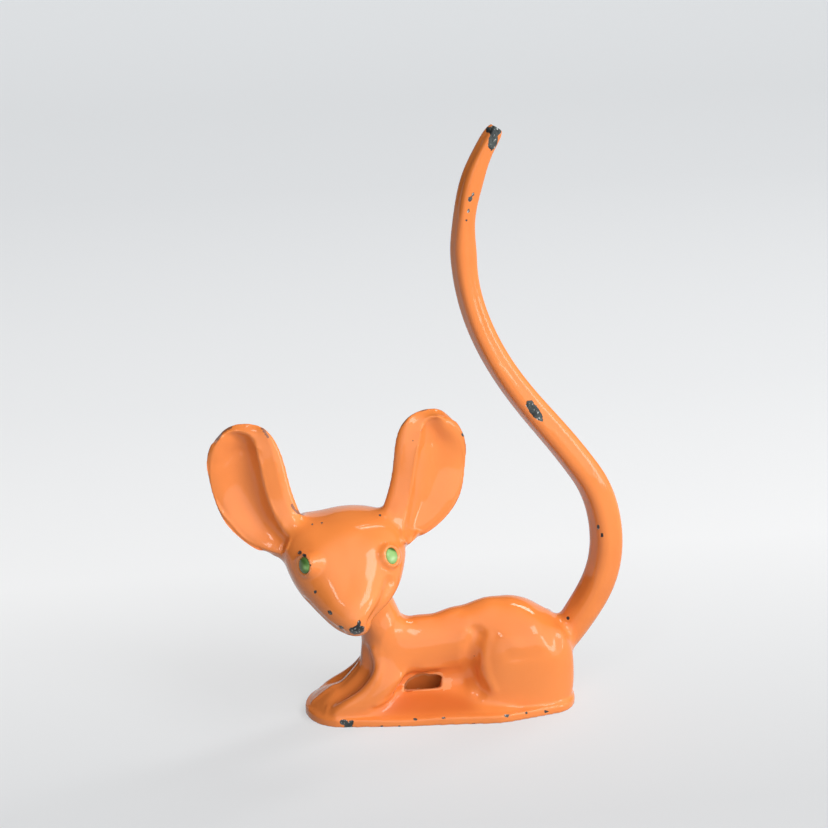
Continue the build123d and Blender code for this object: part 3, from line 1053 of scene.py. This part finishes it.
def enamel_finish():
    """Glossy orange enamel with painted shade in the creases and the pocket and a pale painted highlight on
    edges, chipped to a dark metal and worn on the rims.
    """
    finish = Finish("orange_enamel")
    cloud = finish.noise(55.0, 3.0)
    fine = finish.noise(420.0, 3.0)
    grit = finish.noise(1500.0, 2.0, 0.7)
    peel = finish.noise(520.0, 2.0)
    ragged = finish.noise(900.0, 3.0, 0.6)
    chip = finish.mark("chip") + (ragged - 0.5) * 0.75
    bare = finish.between(chip, -0.04, 0.05)
    worn = finish.between(finish.mark("worn") + (ragged - 0.5) * 1.2, 0.45, 0.8)
    # The pale mark is a painted highlight; the crease and pocket marks are painted shade
    pale = finish.between(finish.mark("pale") + (fine - 0.5) * 0.7, 0.35, 0.75)
    crease_shade_share = finish.between(finish.mark("hollow"), 0.002, 0.03) * 0.3
    colour = finish.mix(finish.between(cloud, 0.3, 0.7), *enamel_colours)
    colour = finish.mix(crease_shade_share, colour, crease_shade_colour)
    colour = finish.mix(finish.mark("pool") * 0.8, colour, pocket_shade_colour)
    colour = finish.mix(pale * 0.6, colour, painted_highlight_colour)
    colour = finish.mix(worn * 0.85, colour, worn_colour)
    speck = finish.between(grit, 0.60, 0.66)
    metal = finish.mix(finish.between(fine, 0.35, 0.65), *metal_colours)
    metal = finish.mix(speck * 0.8, metal, speck_colour)
    colour = finish.mix(bare, colour, metal)
    height = peel * 0.05 + (1 - bare) * 0.35 + ragged * bare * 0.3
    bump = finish.node("ShaderNodeBump", {}, {"Strength": 0.5, "Distance": 0.0005, "Height": height})
    gloss = 0.07 + fine * 0.03 + worn * 0.25
    rough = gloss * (1 - bare) + bare * 0.48
    return finish.surface(Base_Color=colour, Roughness=rough, Normal=bump, Metallic=bare * 0.35,
                          Specular_IOR_Level=0.4)


def eye_finish():
    """Green glass with painted light: its colour goes pale where light would gather in it and dark where it
    is shaded.
    """
    finish = Finish("green_glass")
    cloud = finish.noise(900.0, 2.0)
    # The glow mark is painted light and shade in the glass, not a lamp
    glow = finish.mark("glow") + (cloud - 0.5) * 0.16
    colour = finish.node("ShaderNodeValToRGB", {"stops": [
        (0.0, (0.012, 0.045, 0.010, 1)), (0.35, (0.060, 0.155, 0.030, 1)),
        (0.7, (0.24, 0.47, 0.13, 1)), (1.0, (0.52, 0.74, 0.38, 1)),
    ]}, {"Fac": glow})
    return finish.surface(Base_Color=colour, Roughness=0.04 + cloud * 0.03, Specular_IOR_Level=0.3)


# Stage

def lay_floor():
    """A pale floor that curves up into a backdrop."""
    bpy.ops.mesh.primitive_plane_add(size=2 * floor_half, location=(0, 0, 0))
    floor = bpy.context.active_object
    floor.name = "floor"
    bpy.ops.object.mode_set(mode="EDIT")
    bpy.ops.mesh.select_all(action="DESELECT")
    bpy.ops.object.mode_set(mode="OBJECT")
    for edge in floor.data.edges:
        edge.select = all(floor.data.vertices[v].co.y > floor_half / 2 for v in edge.vertices)
    bpy.ops.object.mode_set(mode="EDIT")
    bpy.ops.mesh.select_mode(type="EDGE")
    bpy.ops.mesh.extrude_region_move(TRANSFORM_OT_translate={"value": (0, 0, floor_rise)})
    bpy.ops.object.mode_set(mode="OBJECT")
    for edge in floor.data.edges:
        edge.select = all(
            floor.data.vertices[v].co.y > floor_half / 2 and floor.data.vertices[v].co.z < floor_rise / 2
            for v in edge.vertices
        )
    bpy.ops.object.mode_set(mode="EDIT")
    bpy.ops.mesh.bevel(offset=floor_bend, segments=floor_bend_steps, affect="EDGES")
    bpy.ops.object.mode_set(mode="OBJECT")
    bpy.ops.object.shade_smooth()
    floor.data.materials.append(floor_finish())


def floor_finish():
    """Pale paper, a little brighter behind the mouse than in front of it and far away."""
    finish = Finish("pale_paper")
    _, depth, _ = finish.parts(finish.place)
    share = finish.spread(depth, *floor_reach)
    shade = finish.node("ShaderNodeValToRGB", {"stops": floor_stops}, {"Fac": share})
    kinds = ("Is Camera Ray", "Is Glossy Ray", "Is Transmission Ray")
    straight, mirrored, through = [finish.node("ShaderNodeLightPath", output=kind) for kind in kinds]
    seen = straight.math("MAXIMUM", straight, straight.math("MAXIMUM", mirrored, through))
    glow = finish.mix(seen, (0, 0, 0, 1), shade)
    return finish.surface(Base_Color=floor_colour, Roughness=floor_roughness, Emission_Color=glow,
                          Emission_Strength=1.0)


def hang_panel(name, direction, distance, size, radiance):
    """A soft panel lamp that looks at the mouse from a direction."""
    lamp = bpy.data.lights.new(name, "AREA")
    lamp.shape = "RECTANGLE"
    lamp.size, lamp.size_y = size
    lamp.energy = radiance * math.pi * size[0] * size[1]
    panel = bpy.data.objects.new(name, lamp)
    bpy.context.scene.collection.objects.link(panel)
    towards = Vector(direction).normalized()
    panel.location = Vector(panel_aim) + towards * distance
    panel.rotation_euler = towards.to_track_quat("Z", "Y").to_euler()


def light_stage():
    """Panels that the enamel mirrors, in front, at the right side and overhead, under a soft sky that is
    bright in front and dim at the left and behind."""
    for name, panel in panels.items():
        hang_panel(name, *panel)
    world = bpy.context.scene.world or bpy.data.worlds.new("sky")
    bpy.context.scene.world = world
    world.use_nodes = True
    tree = world.node_tree
    sky = tree.nodes["Background"]
    place = tree.nodes.new("ShaderNodeTexCoord")
    ahead = tree.nodes.new("ShaderNodeVectorMath")
    ahead.operation = "DOT_PRODUCT"
    ahead.inputs[1].default_value = Vector(sky_brightest).normalized()
    ramp = tree.nodes.new("ShaderNodeMapRange")
    ramp.interpolation_type = "SMOOTHSTEP"
    tree.links.new(place.outputs["Generated"], ahead.inputs[0])
    tree.links.new(ahead.outputs["Value"], ramp.inputs["Value"])
    for key, value in sky_rise.items():
        ramp.inputs[key].default_value = value
    tree.links.new(ramp.outputs[0], sky.inputs["Strength"])
    sky.inputs["Color"].default_value = sky_colour


def set_camera():
    """The camera at the photograph's place."""
    camera = bpy.data.cameras.new("camera")
    camera.lens, camera.sensor_width = view_lens, view_sensor
    viewer = bpy.data.objects.new("camera", camera)
    bpy.context.scene.collection.objects.link(viewer)
    viewer.location = Vector(eye_point) * mm
    viewer.rotation_euler = Vector(sight_back).to_track_quat("Z", "Y").to_euler()
    bpy.context.scene.camera = viewer


def set_eye(name, seat, glass):
    """A cabochon of green glass in its seat."""
    base, side, up, outward = seat
    bpy.ops.mesh.primitive_uv_sphere_add(segments=eye_spokes, ring_count=eye_rings, radius=eye_radius * mm)
    eye = bpy.context.active_object
    eye.name = name + "_glass"
    eye.data.name = eye.name
    local = read_points(eye.data)
    flat = np.where(local[:, 2] > 0, eye_dome + eye_seat * 0.7, 0.3) / eye_radius
    x, y, z = local[:, 0], local[:, 1], local[:, 2] * flat - eye_seat * 0.7
    write_points(eye.data, base + np.outer(x, side) + np.outer(y, up) + np.outer(z, outward))
    # Painted light and shade on the glass, kept as its glow mark
    write_attribute(eye.data, "glow", eye_painted_light(name, base + np.outer(x, side) + np.outer(y, up), base))
    only(eye)
    bpy.ops.object.shade_smooth()
    eye.data.materials.append(glass)
    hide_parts(name)
    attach(eye, "root")


def eye_painted_light(name, places, base):
    """Painted light and shade in the glass, as the camera sees it: little light gathered in one eye, most in
    the other, each with a painted highlight.
    """
    x = (places - base) @ sight_right / eye_radius
    y = (places - base) @ sight_up / eye_radius
    if name == "right_eye":
        return 0.42 + 0.4 * np.exp(-((x - 0.35)**2 + (y + 0.25)**2) / 0.10) - 0.15 * ease(-x, 0.0, 0.6)
    shade = ease(np.hypot(x + 0.15, y + 0.2), 0.55, 0.95) * ease(x + y, 0.1, 0.7)
    return 0.74 - 0.55 * shade + 0.2 * np.exp(-((x + 0.05)**2 + (y + 0.4)**2) / 0.08)


enamel = enamel_finish()
glass = eye_finish()
skin = cast_skin()
clay = shape_skin(skin)
for name, piece in cut_into_castings(skin, clay).items():
    piece.data.materials.append(enamel)
    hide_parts(name)
    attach(piece, "root")
for name in eye_names:
    set_eye(name, clay.eyes[name], glass)
lay_floor()
light_stage()
set_camera()

scene = bpy.context.scene
scene.view_settings.view_transform = "Standard"
